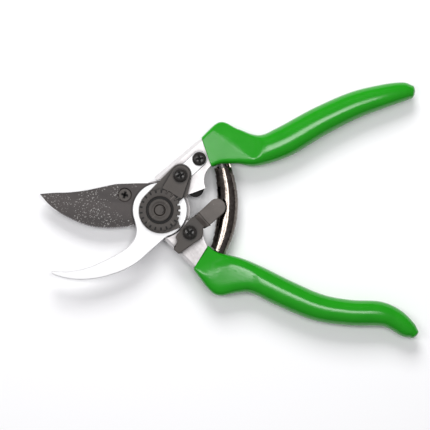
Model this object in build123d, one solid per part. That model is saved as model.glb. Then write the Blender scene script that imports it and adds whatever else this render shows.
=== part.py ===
from build123d import *
import os
from math import atan2, cos, hypot, radians, sin

# Bypass pruning shears, lying open. Millimetres.
# The origin is on the pivot axis, on the surface that the shears lie on. +X runs from the pivot to
# the grips, +Z from the bolt's head up to the toothed nut. The cutting blade belongs to the lower
# (-Y) handle, and the hooked counter-blade to the upper (+Y) handle.

# Clearances
slide_gap = 0.05  # between faces that slide on each other
fit_gap = 0.02  # around fixed pins, bushes and inserts
screw_gap = 0.2  # around a screw's shank where it only passes through
swing_gap = 0.35  # between the two sides, round the pivot

# Stack at the pivot, from the bolt's head up
bolt_head_r = 8.0
bolt_head_t = 2.15
thrust_washer_r = 7.4
thrust_washer_t = 0.4
disc_t = 5.0
blade_t = 2.8
hook_t = 3.6
lock_plate_t = 1.2
dial_t = 1.7
nut_face_t = 1.2

z_washer = bolt_head_t
z_disc = z_washer + thrust_washer_t + slide_gap
z_blade = z_disc + disc_t
z_hook = z_blade + blade_t + slide_gap
z_lock = z_hook + hook_t
z_dial = z_lock + lock_plate_t
z_segment_top = z_dial + dial_t

# Pivot
bolt_shank_r = 4.0
bolt_flat = 3.2  # half the width across the flats that key the bolt to the counter-blade
bolt_thread_r = 3.0
bolt_end_above_dial = 2.6
bush_wall = 1.5
bush_r = bolt_shank_r + slide_gap + bush_wall
disc_r = 15.8
blade_root_r = 14.0
ring_r = 14.4
head_wall_r = disc_r + swing_gap
shoulder_wall_r = ring_r + 0.6

# Jaws
drawn_jaw_length = 63.6
jaw_length = 63.6  # from the pivot to the blade's tip
jaw_root = -15.0  # the jaws stretch outside this X
bevel_width = 4.2
bevel_depth = 2.2
blade_screw_at = (-18.7, 8.1)
blade_lug_r = 4.8

# Counter-blade's tang, and what is screwed to it
tang_w = 8.4
tang_angle = 43.0
tang_length = 24.0  # from inside the ring to the tang's screw
tang_screw_at = (20.8, 27.1)
segment_screw_at = (10.8, 18.4)

# Adjusting nut and its lock
tooth_count = 21
dial_r = 10.9
notch_depth = 1.9
notch_w = 1.0
notch_phase = 33.7  # degrees from +X to one of the notches
nut_face_r = 5.9
groove_w = 0.9
groove_depth = 0.7
nut_washer_r = 4.8
lock_round_at = (0.7, -0.4)
lock_round_r = 11.8
lock_end_at = (11.1, 18.8)
lock_end_r = 5.6
catch_at = (10.4, -8.85)
catch_r = 0.4
segment_end_r = 4.7

# Screws
screw_shank_r = 2.0
screw_head_h = 1.8
pan_head_r = 3.7
cross_w = 1.0
cross_span = 3.6
cross_depth = 1.1

# Aluminium heads of the two handles
head_top = z_lock - 0.2
head_chamfer = 1.7
shoulder_top = z_lock - 0.05

# Closing, and the rubber bumper that ends it
close_angle = 38.0
bumper_near = (13.7, 7.8)
bumper_far = (23.9, 11.6)
bumper_half = 4.2
bumper_bulge = 2.8
bumper_base_half = 2.6
bumper_base_depth = 1.6
bumper_low = 4.0
bumper_high = 12.4
stop_gap = 0.3

# Latch
latch_at = (15.8, -11.8)
latch_t = 1.5
latch_shank_r = 2.5
latch_boss_r = 4.4
latch_washer_t = 0.4
latch_boss_top = z_dial - 0.25
z_latch = latch_boss_top + latch_washer_t + slide_gap
latch_lug_lift = 0.2  # above the counter-blade's face
pad_drop = 0.35  # how far the pad's underside lies under the latch plate's top
pad_t = 2.0

# Grips: stations from the head to the tip. Each has the left and right edge, seen from above while
# looking towards the tip, and the thickness.
grip_mid_z = 8.0
grip_wall = 2.2
grip_round = 0.42  # corner radius over the smaller side of a section
grip_start_x = 27.3
drawn_grip_length = 110.0
grip_length = 110.0  # along X, from the head to the tip
hook_grip_stations = [
    ((21.8, 38.5), (27.3, 22.7), 13.6),
    ((31.4, 46.6), (32.5, 24.5), 14.4),
    ((41.2, 43.0), (40.8, 24.5), 15.2),
    ((52.0, 39.8), (51.5, 23.3), 15.8),
    ((62.5, 43.9), (69.0, 28.8), 15.9),
    ((81.0, 53.9), (88.0, 40.0), 15.9),
    ((100.5, 62.4), (105.5, 48.9), 15.4),
    ((117.0, 66.5), (119.5, 54.2), 14.2),
    ((128.5, 67.7), (129.0, 57.7), 11.0),
    ((134.6, 65.0), (132.9, 59.8), 6.0),
]
blade_grip_stations = [
    ((25.4, -18.6), (17.5, -31.4), 13.6),
    ((30.5, -22.1), (29.5, -45.1), 14.4),
    ((42.9, -25.3), (41.5, -43.7), 15.2),
    ((54.0, -29.9), (48.5, -44.2), 15.8),
    ((69.0, -37.3), (62.0, -50.6), 15.9),
    ((86.0, -44.6), (81.0, -58.3), 15.9),
    ((101.2, -47.5), (99.5, -61.1), 15.4),
    ((117.0, -48.4), (116.0, -61.4), 14.2),
    ((127.5, -53.0), (121.5, -63.0), 12.4),
    ((134.6, -60.0), (128.6, -66.8), 9.4),
    ((137.3, -65.2), (133.6, -68.0), 5.6),
]

# Return spring, a barrel of wound strip between two pegs
peg_r = 1.9
peg_reach = 6.0
peg_root = 5.0
spring_bow = (36.4, 2.8)
spring_wall = 1.2
spring_end_lift = 1.3
spring_end_r = 3.5
spring_mid_r = 6.0


# ---- helpers ----

upright = (Align.CENTER, Align.CENTER, Align.MIN)


def cylinder(point, radius, low, high):
    return extrude(Pos(point[0], point[1], low) * Circle(radius), high - low)


def slab(face, low, high):
    return Pos(0, 0, low) * extrude(face, high - low)


def disc(point, radius):
    return Pos(point[0], point[1]) * Circle(radius)


def hull(*discs):
    return make_hull([edge for one in discs for edge in one.edges()])


def polygon(*points):
    return make_face(Polyline(*points, close=True))


def between(a, b, share):
    return (a[0] + (b[0] - a[0]) * share, a[1] + (b[1] - a[1]) * share)


def turned(point, angle):
    # clockwise about the pivot, seen from above
    c = cos(radians(angle))
    s = sin(radians(angle))
    return (point[0] * c + point[1] * s, point[1] * c - point[0] * s)


def polar(radius, angle):
    return (radius * cos(radians(angle)), radius * sin(radians(angle)))


def nearest_edges(solid, *points):
    return [solid.edges().sort_by_distance(point)[0] for point in points]


def on_jaw(point):
    stretch = (jaw_length + jaw_root) / (drawn_jaw_length + jaw_root)
    x = point[0]
    if x < jaw_root:
        x = jaw_root + (x - jaw_root) * stretch
    return (x, point[1])


def on_grip(point):
    stretch = grip_length / drawn_grip_length
    x = point[0]
    if x > grip_start_x:
        x = grip_start_x + (x - grip_start_x) * stretch
    return (x, point[1])


def cross_recess(point, top, turn=0):
    arm = Box(cross_span, cross_w, cross_depth, align=(Align.CENTER, Align.CENTER, Align.MAX))
    return Pos(point[0], point[1], top) * Rot(0, 0, turn) * (arm + Rot(0, 0, 90) * arm)


def pan_screw(point, seat, length, shank_r=screw_shank_r, turn=0):
    top = seat + screw_head_h
    head = cylinder(point, pan_head_r, seat, top)
    head = fillet(head.edges().sort_by(Axis.Z)[-1], screw_head_h * 0.7)
    shank = cylinder(point, shank_r, seat - length, seat)
    return head + shank - cross_recess(point, top, turn)


# ---- pivot ----


def double_d(gap=0.0):
    return Circle(bolt_shank_r + gap) & Rectangle(2 * (bolt_flat + gap), 4 * bolt_shank_r)


def pivot_bolt():
    head = cylinder((0, 0), bolt_head_r, 0, bolt_head_t)
    head = chamfer(head.edges().sort_by(Axis.Z)[0], 0.6)
    shank = cylinder((0, 0), bolt_shank_r, bolt_head_t, z_hook)
    key = slab(double_d(), z_hook, z_lock)
    thread = cylinder((0, 0), bolt_thread_r, z_lock, z_dial + bolt_end_above_dial)
    thread = chamfer(thread.edges().sort_by(Axis.Z)[-1], 0.5)
    return head + shank + key + thread


def thrust_washer():
    ring = Circle(thrust_washer_r) - Circle(bolt_shank_r + screw_gap)
    return slab(ring, z_washer, z_washer + thrust_washer_t)


def pivot_bush():
    ring = Circle(bush_r) - Circle(bolt_shank_r + slide_gap)
    return slab(ring, z_disc, z_blade + blade_t)


def adjusting_nut():
    notch = Pos(dial_r - notch_depth / 2 + 0.5, 0) * Rectangle(notch_depth + 1, notch_w)
    outline = Circle(dial_r)
    for tooth in range(tooth_count):
        outline -= Rot(0, 0, notch_phase + tooth * 360 / tooth_count) * notch
    body = slab(outline, z_dial, z_segment_top)
    face = cylinder((0, 0), nut_face_r, z_segment_top, z_segment_top + nut_face_t)
    body += chamfer(face.edges().sort_by(Axis.Z)[-1], 0.4)
    groove = Circle(nut_face_r + groove_w) - Circle(nut_face_r)
    body -= slab(groove, z_segment_top - groove_depth, z_segment_top)
    return body - cylinder((0, 0), bolt_thread_r + fit_gap, z_dial, z_segment_top + nut_face_t)


def nut_spring_washer():
    ring = Circle(nut_washer_r) - Circle(bolt_thread_r + screw_gap)
    return slab(ring, z_lock, z_dial)


# ---- lock for the nut ----


def lock_plate():
    round_part = disc(lock_round_at, lock_round_r)
    body = hull(round_part, disc(lock_end_at, lock_end_r)) + hull(round_part, disc(catch_at, catch_r))
    # the window beside the teeth, which is also what the latch's lug locks into
    under_teeth = dial_r - notch_depth
    window = polygon(
        (under_teeth, -4.4),
        (catch_at[0] + 0.35, catch_at[1] + 0.25),
        (20.0, -9.0),
        (20.0, 4.0),
        (13.0, 7.2),
        (under_teeth, 3.4),
    )
    plate = body - (window - Circle(under_teeth))
    plate -= Circle(nut_washer_r + fit_gap)
    plate -= disc(segment_screw_at, screw_shank_r + screw_gap)
    return slab(plate, z_lock, z_dial)


def lock_segment():
    left_foot = disc(polar(dial_r + 1.1, 80), 0.6)
    mid_foot = disc(polar(dial_r + 1.0, 55), 0.8)
    right_foot = disc(polar(dial_r + 2.3, 31), 0.6)
    plate = hull(disc(lock_end_at, segment_end_r), left_foot, mid_foot, right_foot)
    plate -= Circle(dial_r + 0.2)
    finger_in = dial_r - notch_depth + 0.35
    finger_out = dial_r + 2.0
    finger = Pos((finger_in + finger_out) / 2, 0) * Rectangle(finger_out - finger_in, notch_w - 0.3)
    for step in range(3):
        plate += Rot(0, 0, notch_phase + step * 360 / tooth_count) * finger
    plate -= disc(segment_screw_at, screw_shank_r + screw_gap)
    return slab(plate, z_dial, z_segment_top)


# ---- blades ----


def blade_outline(ground=0.0):
    # ground moves the cutting edge back by that much, and less towards the tip and the heel
    tip = on_jaw((-63.6, 8.6))
    heel = (-13.4, -7.1)
    back = on_jaw((-23.1, 13.9))
    edge_points = [
        (heel, 0.0),
        ((-16.6, -8.6), 0.45),
        ((-25.9, -9.5), 1.0),
        ((-36.5, -8.6), 1.0),
        ((-48.7, -3.8), 0.9),
        ((-58.8, 3.0), 0.5),
    ]
    moved = [(x, y + ground * share) for (x, y), share in edge_points]
    spine = Spline(tip, on_jaw((-48.7, 9.4)), on_jaw((-33.4, 11.7)), back)
    root = Polyline(back, (-13.2, 14.25), (-4.0, 14.3), (0, 13.0), (-4.0, -4.0), heel)
    edge = Spline(*[on_jaw(point) for point in moved], tip)
    return make_face([spine, root, edge])


def cutting_blade():
    # the bevel is ground on the underside, away from the counter-blade
    z_ground = z_blade + bevel_depth
    upper = slab(blade_outline(), z_ground, z_blade + blade_t)
    low_face = Pos(0, 0, z_blade) * blade_outline(bevel_width)
    lower = loft([low_face, Pos(0, 0, z_ground) * blade_outline()], ruled=True)
    blade = upper + lower + cylinder((0, 0), blade_root_r, z_blade, z_blade + blade_t)
    blade -= cylinder((0, 0), bush_r + fit_gap, z_blade, z_blade + blade_t)
    return blade - countersink(fit_gap)


def countersink(gap):
    # a 90 degree seat, open to the blade's top face, with the screw's head sunk under it
    top = z_blade + blade_t
    depth = blade_t * 0.65
    low_r = screw_shank_r + gap
    cone = Cone(low_r, low_r + depth, depth, align=upright)
    seat = Pos(*blade_screw_at, top - depth) * cone
    return seat + cylinder(blade_screw_at, low_r, z_blade, top - depth)


def blade_screw():
    top = z_blade + blade_t
    depth = blade_t * 0.65
    sunk = 0.55
    height = depth - sunk
    cone = Cone(screw_shank_r, screw_shank_r + height, height, align=upright)
    head = Pos(*blade_screw_at, top - depth) * cone
    shank = cylinder(blade_screw_at, screw_shank_r, z_disc + 0.8, top - depth)
    return head + shank - cross_recess(blade_screw_at, top - sunk, -15)


def tang(gap=0.0):
    half = tang_w / 2 + gap
    back = polar(tang_length, tang_angle)
    root = (tang_screw_at[0] - back[0], tang_screw_at[1] - back[1])
    return hull(disc(root, half), disc(tang_screw_at, half))


def counter_blade():
    outer = Spline(
        (3.4, -14.0),
        (-5.1, -21.6),
        on_jaw((-15.2, -29.7)),
        on_jaw((-25.9, -34.2)),
        on_jaw((-37.5, -36.5)),
        on_jaw((-48.7, -36.1)),
        on_jaw((-57.0, -33.7)),
    )
    tip = Line(on_jaw((-57.0, -33.7)), on_jaw((-57.2, -32.0)))
    inner = Spline(
        on_jaw((-57.2, -32.0)),
        on_jaw((-48.7, -32.4)),
        on_jaw((-36.5, -29.7)),
        on_jaw((-24.3, -24.1)),
        on_jaw((-16.2, -18.6)),
        (-12.6, -12.0),
        (-13.7, -4.4),
    )
    root = Polyline((-13.7, -4.4), (-6, 0), (3.4, -6), (3.4, -14.0))
    outline = make_face([outer, tip, inner, root]) + Circle(ring_r) + tang()
    for point in (tang_screw_at, segment_screw_at):
        outline -= disc(point, screw_shank_r + screw_gap)
    plate = slab(outline - double_d(fit_gap), z_hook, z_lock)
    rim = nearest_edges(plate, (*on_jaw((-36.5, -29.7)), z_lock), (*on_jaw((-37.5, -36.5)), z_lock))
    return chamfer(rim, 0.5)


# ---- handles ----


def grip_section(station, inset):
    left, right, thickness = station
    left = on_grip(left)
    right = on_grip(right)
    across = atan2(left[1] - right[1], left[0] - right[0])
    width = hypot(left[0] - right[0], left[1] - right[1]) - 2 * inset
    height = thickness - 2 * inset
    centre = between(left, right, 0.5)
    plane = Plane(
        origin=(*centre, grip_mid_z),
        x_dir=(cos(across), sin(across), 0),
        z_dir=(sin(across), -cos(across), 0),
    )
    return plane * RectangleRounded(width, height, grip_round * min(width, height))


def grip_form(stations):
    return loft([grip_section(station, 0.0) for station in stations])


def spring_arc():
    seats = (on_grip(hook_grip_stations[1][1]), on_grip(blade_grip_stations[1][0]))
    return ThreePointArc(seats[0], spring_bow, seats[1])


def peg(end, gap=0.0):
    # end 0 is the peg on the counter-blade's handle, end 1 the one on the blade's handle
    arc = spring_arc()
    seat = arc @ end
    inward = (arc % end) * (1 if end == 0 else -1)
    start = seat - inward * peg_root + Vector(0, 0, grip_mid_z)
    return extrude(Plane(origin=start, z_dir=inward) * Circle(peg_r + gap), peg_root + peg_reach)


def arm(stations, end, gap=0.0):
    # the cast core inside a grip, straight from station to station, with the spring's peg
    inset = grip_wall - gap
    core = loft([grip_section(station, inset) for station in stations[:-2]], ruled=True)
    return core + peg(end, gap)


def grip(stations, end):
    return grip_form(stations) - arm(stations, end, fit_gap)


def stop_line():
    # where the bumper comes to rest on the other handle, with the bumper's own height let in
    near = turned(bumper_near, close_angle)
    far = turned(bumper_far, close_angle)
    length = hypot(far[0] - near[0], far[1] - near[1])
    down = (far[1] - near[1]) / length, (near[0] - far[0]) / length
    drop = bumper_bulge + stop_gap
    near = (near[0] + down[0] * drop, near[1] + down[1] * drop)
    far = (far[0] + down[0] * drop, far[1] + down[1] * drop)
    return near, far


def head_end(stations):
    left, right, _ = stations[0]
    return between(left, right, 0.05), between(left, right, 0.95)


def blade_handle():
    left_end, right_end = head_end(blade_grip_stations)
    stop_near, stop_far = stop_line()
    stop_far = between(stop_near, stop_far, 0.78)
    corner = (2.4, -15.75)
    outline = polygon(
        (10.0, -6.0),
        (4.0, -12.0),
        corner,
        right_end,
        left_end,
        (23.2, -15.2),
        (22.9, -10.4),
        stop_far,
        stop_near,
    )
    shoulder = slab(outline, z_disc, shoulder_top)
    shoulder -= cylinder((0, 0), shoulder_wall_r, z_blade, shoulder_top)
    edge_mid = between(corner, right_end, 0.5)
    shoulder = chamfer(nearest_edges(shoulder, (*edge_mid, shoulder_top), (*edge_mid, z_disc)), head_chamfer)
    lug = hull(Circle(bush_r + 4.0), disc(blade_screw_at, blade_lug_r))
    body = slab(Circle(disc_r) + lug, z_disc, z_blade)
    body += shoulder
    body += cylinder(latch_at, latch_boss_r, shoulder_top, latch_boss_top)
    body += arm(blade_grip_stations, 1)
    body -= cylinder((0, 0), bush_r + fit_gap, z_disc, z_blade)
    body -= cylinder(blade_screw_at, screw_shank_r + fit_gap, z_disc, z_blade)
    return body - cylinder(latch_at, latch_shank_r + fit_gap, z_disc + 2, latch_boss_top)


def bumper_plane():
    length = hypot(bumper_far[0] - bumper_near[0], bumper_far[1] - bumper_near[1])
    along = ((bumper_far[0] - bumper_near[0]) / length, (bumper_far[1] - bumper_near[1]) / length, 0)
    return Plane(origin=(*between(bumper_near, bumper_far, 0.54), 0), x_dir=along, z_dir=(0, 0, 1))


def bumper_base(gap=0.0):
    width = 2 * (bumper_base_half + gap)
    depth = bumper_base_depth + gap
    return bumper_plane() * Pos(0, depth / 2) * Rectangle(width, depth)


def bumper():
    face = Line((-bumper_half, 0), (bumper_half, 0))
    bulge = ThreePointArc((-bumper_half, 0), (0, -bumper_bulge), (bumper_half, 0))
    cushion = bumper_plane() * make_face([face, bulge])
    return slab(cushion + bumper_base(), bumper_low, bumper_high)


def hook_handle():
    left_end, right_end = head_end(hook_grip_stations)
    corner = (-2.6, 17.6)
    outline = make_face(
        [
            Polyline((6.0, 6.0), (-1.0, 12.0), (-2.4, 16.6), corner, (18.9, 35.8), left_end, right_end),
            ThreePointArc(right_end, (23.7, 18.6), (23.9, 12.2)),
            Polyline((23.9, 12.2), bumper_far, bumper_near, (6.0, 6.0)),
        ]
    )
    body = slab(outline, z_disc, head_top)
    body -= cylinder((0, 0), head_wall_r, z_disc, head_top)
    edge_mid = between(corner, (18.9, 35.8), 0.5)
    body = chamfer(nearest_edges(body, (*edge_mid, head_top), (*edge_mid, z_disc)), head_chamfer)
    body += arm(hook_grip_stations, 0)
    body -= slab(tang(fit_gap), z_hook, head_top)
    body -= slab(bumper_base(fit_gap), bumper_low, bumper_high)
    for point in (tang_screw_at, segment_screw_at):
        body -= cylinder(point, screw_shank_r + fit_gap, z_disc + 2, z_hook)
    return body


# ---- latch ----


def latch_lever():
    plate = polygon(
        (11.4, -9.9),
        (9.1, -12.9),
        (8.3, -14.3),
        (9.6, -16.3),
        (7.2, -20.7),
        (10.0, -23.1),
        (22.0, -14.7),
        (22.8, -12.4),
        (22.7, -9.6),
        (25.8, -8.0),
        (20.1, -1.9),
        (16.1, -4.4),
        (14.0, -7.0),
    )
    lever = slab(plate, z_latch, z_latch + latch_t)
    finger_end = polygon((7.2, -20.7), (10.0, -23.1), (11.6, -21.9), (8.3, -18.7))
    lever += slab(finger_end, z_lock + latch_lug_lift, z_latch)
    pad_low = z_latch + latch_t - pad_drop
    pad_outline = make_face(
        [
            Polyline((24.2, -9.4), (18.4, -3.4), (24.9, 4.0)),
            ThreePointArc((24.9, 4.0), (30.4, 6.9), (34.6, 3.2)),
            ThreePointArc((34.6, 3.2), (34.4, -1.8), (31.2, -4.5)),
            Line((31.2, -4.5), (24.2, -9.4)),
        ]
    )
    pad = slab(pad_outline, pad_low, pad_low + pad_t)
    rim = pad.edges().group_by(Axis.Z)[-1].sort_by(Axis.X)[1:]
    pad = fillet(rim, pad_t * 0.45)
    lever += pad
    return lever - cylinder(latch_at, latch_shank_r + slide_gap, z_latch, z_latch + latch_t)


def latch_washer():
    ring = Circle(latch_boss_r - 0.2) - Circle(latch_shank_r + screw_gap)
    return slab(Pos(*latch_at) * ring, latch_boss_top, latch_boss_top + latch_washer_t)


def latch_screw():
    seat = z_latch + latch_t + slide_gap
    return pan_screw(latch_at, seat, seat - z_disc - 2.5, latch_shank_r, 40)


# ---- spring ----


def spring_shell(inset):
    arc = spring_arc()
    lift = spring_end_lift / arc.length
    shares = (lift, 0.2, 0.5, 0.8, 1 - lift)
    sections = []
    for share in shares:
        swell = sin(radians(180 * share))
        radius = spring_end_r + (spring_mid_r - spring_end_r) * swell - inset
        origin = arc @ share + Vector(0, 0, grip_mid_z)
        sections.append(Plane(origin=origin, z_dir=arc % share) * Circle(radius))
    return loft(sections)


def return_spring():
    return spring_shell(0) - spring_shell(spring_wall)


parts = {
    "blade_handle": blade_handle(),
    "blade_handle_grip": grip(blade_grip_stations, 1),
    "hook_handle": hook_handle(),
    "hook_handle_grip": grip(hook_grip_stations, 0),
    "cutting_blade": cutting_blade(),
    "counter_blade": counter_blade(),
    "blade_screw": blade_screw(),
    "tang_screw": pan_screw(tang_screw_at, z_lock, 8.5, turn=10),
    "pivot_bolt": pivot_bolt(),
    "pivot_bush": pivot_bush(),
    "thrust_washer": thrust_washer(),
    "adjusting_nut": adjusting_nut(),
    "nut_spring_washer": nut_spring_washer(),
    "lock_plate": lock_plate(),
    "lock_segment": lock_segment(),
    "lock_segment_screw": pan_screw(segment_screw_at, z_segment_top, 11.0, turn=20),
    "bumper": bumper(),
    "latch_lever": latch_lever(),
    "latch_washer": latch_washer(),
    "latch_screw": latch_screw(),
    "return_spring": return_spring(),
}

os.makedirs("parts", exist_ok=True)
for name, shape in parts.items():
    export_step(shape, f"parts/{name}.step")
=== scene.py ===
import math
from functools import partial

import bmesh
import bpy
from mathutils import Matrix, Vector
from mathutils.geometry import convex_hull_2d


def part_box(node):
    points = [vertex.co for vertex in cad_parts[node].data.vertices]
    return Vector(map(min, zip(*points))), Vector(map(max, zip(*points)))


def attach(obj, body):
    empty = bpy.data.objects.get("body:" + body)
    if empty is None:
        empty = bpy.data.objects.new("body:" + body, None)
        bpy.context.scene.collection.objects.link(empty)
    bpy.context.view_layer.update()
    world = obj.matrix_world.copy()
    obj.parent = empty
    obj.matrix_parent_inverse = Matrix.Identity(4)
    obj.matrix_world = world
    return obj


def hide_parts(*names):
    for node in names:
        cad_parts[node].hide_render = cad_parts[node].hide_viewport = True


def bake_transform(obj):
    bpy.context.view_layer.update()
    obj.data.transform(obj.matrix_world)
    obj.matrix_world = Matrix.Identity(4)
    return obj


mm = 0.001
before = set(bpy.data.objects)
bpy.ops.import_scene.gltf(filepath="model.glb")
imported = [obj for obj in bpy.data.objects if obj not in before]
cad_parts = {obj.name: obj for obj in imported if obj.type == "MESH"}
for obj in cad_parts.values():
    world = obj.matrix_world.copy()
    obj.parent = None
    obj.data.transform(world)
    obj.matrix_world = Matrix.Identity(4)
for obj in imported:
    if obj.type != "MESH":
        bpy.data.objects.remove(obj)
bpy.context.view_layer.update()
scene = bpy.context.scene
print("frame loaded:", len(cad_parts), "nodes")

# heights of the stack at the pivot come from the frame
bladeLow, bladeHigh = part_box("cutting_blade")
hookLow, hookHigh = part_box("counter_blade")
lockLow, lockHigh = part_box("lock_plate")
dialLow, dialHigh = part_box("adjusting_nut")
segmentLow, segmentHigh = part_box("lock_segment")
boltLow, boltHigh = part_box("pivot_bolt")
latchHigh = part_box("latch_lever")[1]


def ringPoints(centre, radius, count=64, start=0.0, end=360.0):
    closed = abs(end - start) >= 360
    steps = count if closed else count - 1
    points = []
    for i in range(count):
        a = math.radians(start + (end - start) * i / steps)
        points.append((centre[0] + radius * math.cos(a), centre[1] + radius * math.sin(a)))
    return points


def smoothLine(points, steps=8):
    # a Catmull-Rom line through the points, its ends included
    first = Vector(points[0]) * 2 - Vector(points[1])
    last = Vector(points[-1]) * 2 - Vector(points[-2])
    line = [first] + [Vector(p) for p in points] + [last]
    out = []
    for i in range(1, len(line) - 2):
        a, b, c, d = line[i - 1:i + 3]
        for k in range(steps):
            t = k / steps
            p = 0.5 * (2 * b + (c - a) * t + (2 * a - 5 * b + 4 * c - d) * t * t
                       + (3 * b - a - 3 * c + d) * t ** 3)
            out.append(tuple(p))
    out.append(tuple(points[-1]))
    return out


def hullPoints(*loops):
    points = [Vector(p) for loop in loops for p in loop]
    return [tuple(points[i]) for i in convex_hull_2d(points)]


def polar(radius, degrees):
    return (radius * math.cos(math.radians(degrees)), radius * math.sin(math.radians(degrees)))


def addObject(name, mesh):
    piece = bpy.data.objects.new(name, mesh)
    scene.collection.objects.link(piece)
    return piece


def closedPiece(name, bm):
    bmesh.ops.recalc_face_normals(bm, faces=bm.faces[:])
    mesh = bpy.data.meshes.new(name)
    bm.to_mesh(mesh)
    bm.free()
    return addObject(name, mesh)


def layered(name, layers):
    # layers of (outline in mm, height in mm), every outline with the same count of points
    bm = bmesh.new()
    rings = [[bm.verts.new((x * mm, y * mm, z * mm)) for x, y in outline] for outline, z in layers]
    count = len(rings[0])
    for low, high in zip(rings, rings[1:]):
        for i in range(count):
            j = (i + 1) % count
            bm.faces.new((low[i], low[j], high[j], high[i]))
    bm.faces.new(list(reversed(rings[0])))
    bm.faces.new(rings[-1])
    return closedPiece(name, bm)


def prism(name, outline, low, high):
    return layered(name, [(outline, low), (outline, high)])


def bake(piece):
    # the piece's modifiers become its mesh
    bpy.context.view_layer.update()
    evaluated = piece.evaluated_get(bpy.context.evaluated_depsgraph_get())
    mesh = bpy.data.meshes.new_from_object(evaluated)
    piece.modifiers.clear()
    piece.data = mesh
    return piece


def combine(base, others, operation):
    for other in others:
        cut = base.modifiers.new("cut", "BOOLEAN")
        cut.operation = operation
        cut.solver = "EXACT"
        cut.object = other
        bake(base)
        bpy.data.objects.remove(other)
    return base


def flatten(piece, angle=1.0):
    # joins the flat faces that a boolean leaves split
    bm = bmesh.new()
    bm.from_mesh(piece.data)
    bmesh.ops.remove_doubles(bm, verts=bm.verts[:], dist=2e-6)
    limit = math.radians(angle)
    bmesh.ops.dissolve_limit(bm, angle_limit=limit, verts=bm.verts[:], edges=bm.edges[:])
    bmesh.ops.recalc_face_normals(bm, faces=bm.faces[:])
    bm.to_mesh(piece.data)
    bm.free()
    return piece


def soften(piece, width, segments=3, angle=35.0):
    # rounds the sharp edges, then shades the flats flat and the rounds smooth
    bevel = piece.modifiers.new("edges", "BEVEL")
    bevel.width = width * mm
    bevel.segments = segments
    bevel.limit_method = "ANGLE"
    bevel.angle_limit = math.radians(angle)
    bevel.use_clamp_overlap = False
    bevel.miter_outer = "MITER_ARC"
    bake(piece)
    return shade(piece)


def shade(piece, angle=40.0):
    for face in piece.data.polygons:
        face.use_smooth = True
    piece.data.set_sharp_from_angle(angle=math.radians(angle))
    weigh = piece.modifiers.new("normals", "WEIGHTED_NORMAL")
    weigh.keep_sharp = True
    weigh.weight = 80
    return bake(piece)


def turnedPiece(name, profile, centre, segments=72):
    # a lathe: profile of (radius, height) in mm, from the axis out and back to it
    bm = bmesh.new()
    rings = []
    for radius, height in profile:
        if radius < 1e-6:
            rings.append([bm.verts.new((centre[0] * mm, centre[1] * mm, height * mm))])
            continue
        ring = [bm.verts.new((x * mm, y * mm, height * mm)) for x, y in ringPoints(centre, radius, segments)]
        rings.append(ring)
    for low, high in zip(rings, rings[1:]):
        for i in range(segments):
            j = (i + 1) % segments
            corners = [low[i % len(low)], low[j % len(low)], high[j % len(high)], high[i % len(high)]]
            bm.faces.new(list(dict.fromkeys(corners)))
    return closedPiece(name, bm)


def mark(piece, index, test):
    # faces whose middle (in mm) and normal pass the test take that material
    for face in piece.data.polygons:
        if test(Vector(face.center) / mm, face.normal):
            face.material_index = index


def finishPiece(piece, body, slot, nodes, *materials):
    marks = [face.material_index for face in piece.data.polygons]
    piece.data.materials.clear()
    for material in materials:
        piece.data.materials.append(material)
    if len(materials) > 1:
        piece.data.polygons.foreach_set("material_index", marks)
    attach(piece, body)
    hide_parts(*nodes)
    print("made", piece.name, len(piece.data.polygons), "faces")
    return piece


def newGroup(name, inputs, outputs):
    tree = bpy.data.node_groups.new(name, "ShaderNodeTree")
    for label, value in inputs.items():
        socket = tree.interface.new_socket(label, in_out="INPUT", socket_type="NodeSocketFloat")
        socket.default_value = value
    for label, kind in outputs.items():
        tree.interface.new_socket(label, in_out="OUTPUT", socket_type=kind)
    return tree, tree.nodes.new("NodeGroupInput"), tree.nodes.new("NodeGroupOutput")


def noiseNode(tree, vector, scale, detail, rough=0.5):
    noise = tree.nodes.new("ShaderNodeTexNoise")
    noise.inputs["Detail"].default_value = detail
    noise.inputs["Roughness"].default_value = rough
    tree.links.new(vector, noise.inputs["Vector"])
    if isinstance(scale, (int, float)):
        noise.inputs["Scale"].default_value = scale
    else:
        tree.links.new(scale, noise.inputs["Scale"])
    return noise


def mathNode(tree, operation, a, b=None, clamp=False):
    node = tree.nodes.new("ShaderNodeMath")
    node.operation = operation
    node.use_clamp = clamp
    for socket, value in zip(node.inputs, (a, b)):
        if value is None:
            continue
        if isinstance(value, (int, float)):
            socket.default_value = value
        else:
            tree.links.new(value, socket)
    return node.outputs[0]


def openTree(name, kinds):
    # a Geometry Nodes tree with the named inputs and a material
    tree = bpy.data.node_groups.new(name, "GeometryNodeTree")
    for label, kind in {**kinds, "Material": "Material"}.items():
        tree.interface.new_socket(label, in_out="INPUT", socket_type="NodeSocket" + kind)
    tree.interface.new_socket("Geometry", in_out="OUTPUT", socket_type="NodeSocketGeometry")
    return tree, tree.links.new, tree.nodes.new("NodeGroupInput").outputs, partial(mathNode, tree)


def vectorOf(tree, x=None, y=None, z=None):
    node = tree.nodes.new("ShaderNodeCombineXYZ")
    for socket, value in zip(node.inputs, (x, y, z)):
        if value is not None:
            tree.links.new(value, socket)
    return node.outputs["Vector"]


def placeParts(tree):
    # the X, Y and Z of each point's place
    split = tree.nodes.new("ShaderNodeSeparateXYZ")
    tree.links.new(tree.nodes.new("GeometryNodeInputPosition").outputs[0], split.inputs[0])
    return split.outputs


def moved(tree, kind, geometry, socket, value):
    # the geometry after a Transform or a Set Position node with one value linked
    node = tree.nodes.new("GeometryNode" + kind)
    tree.links.new(geometry, node.inputs["Geometry"])
    tree.links.new(value, node.inputs[socket])
    return node.outputs["Geometry"]


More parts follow.
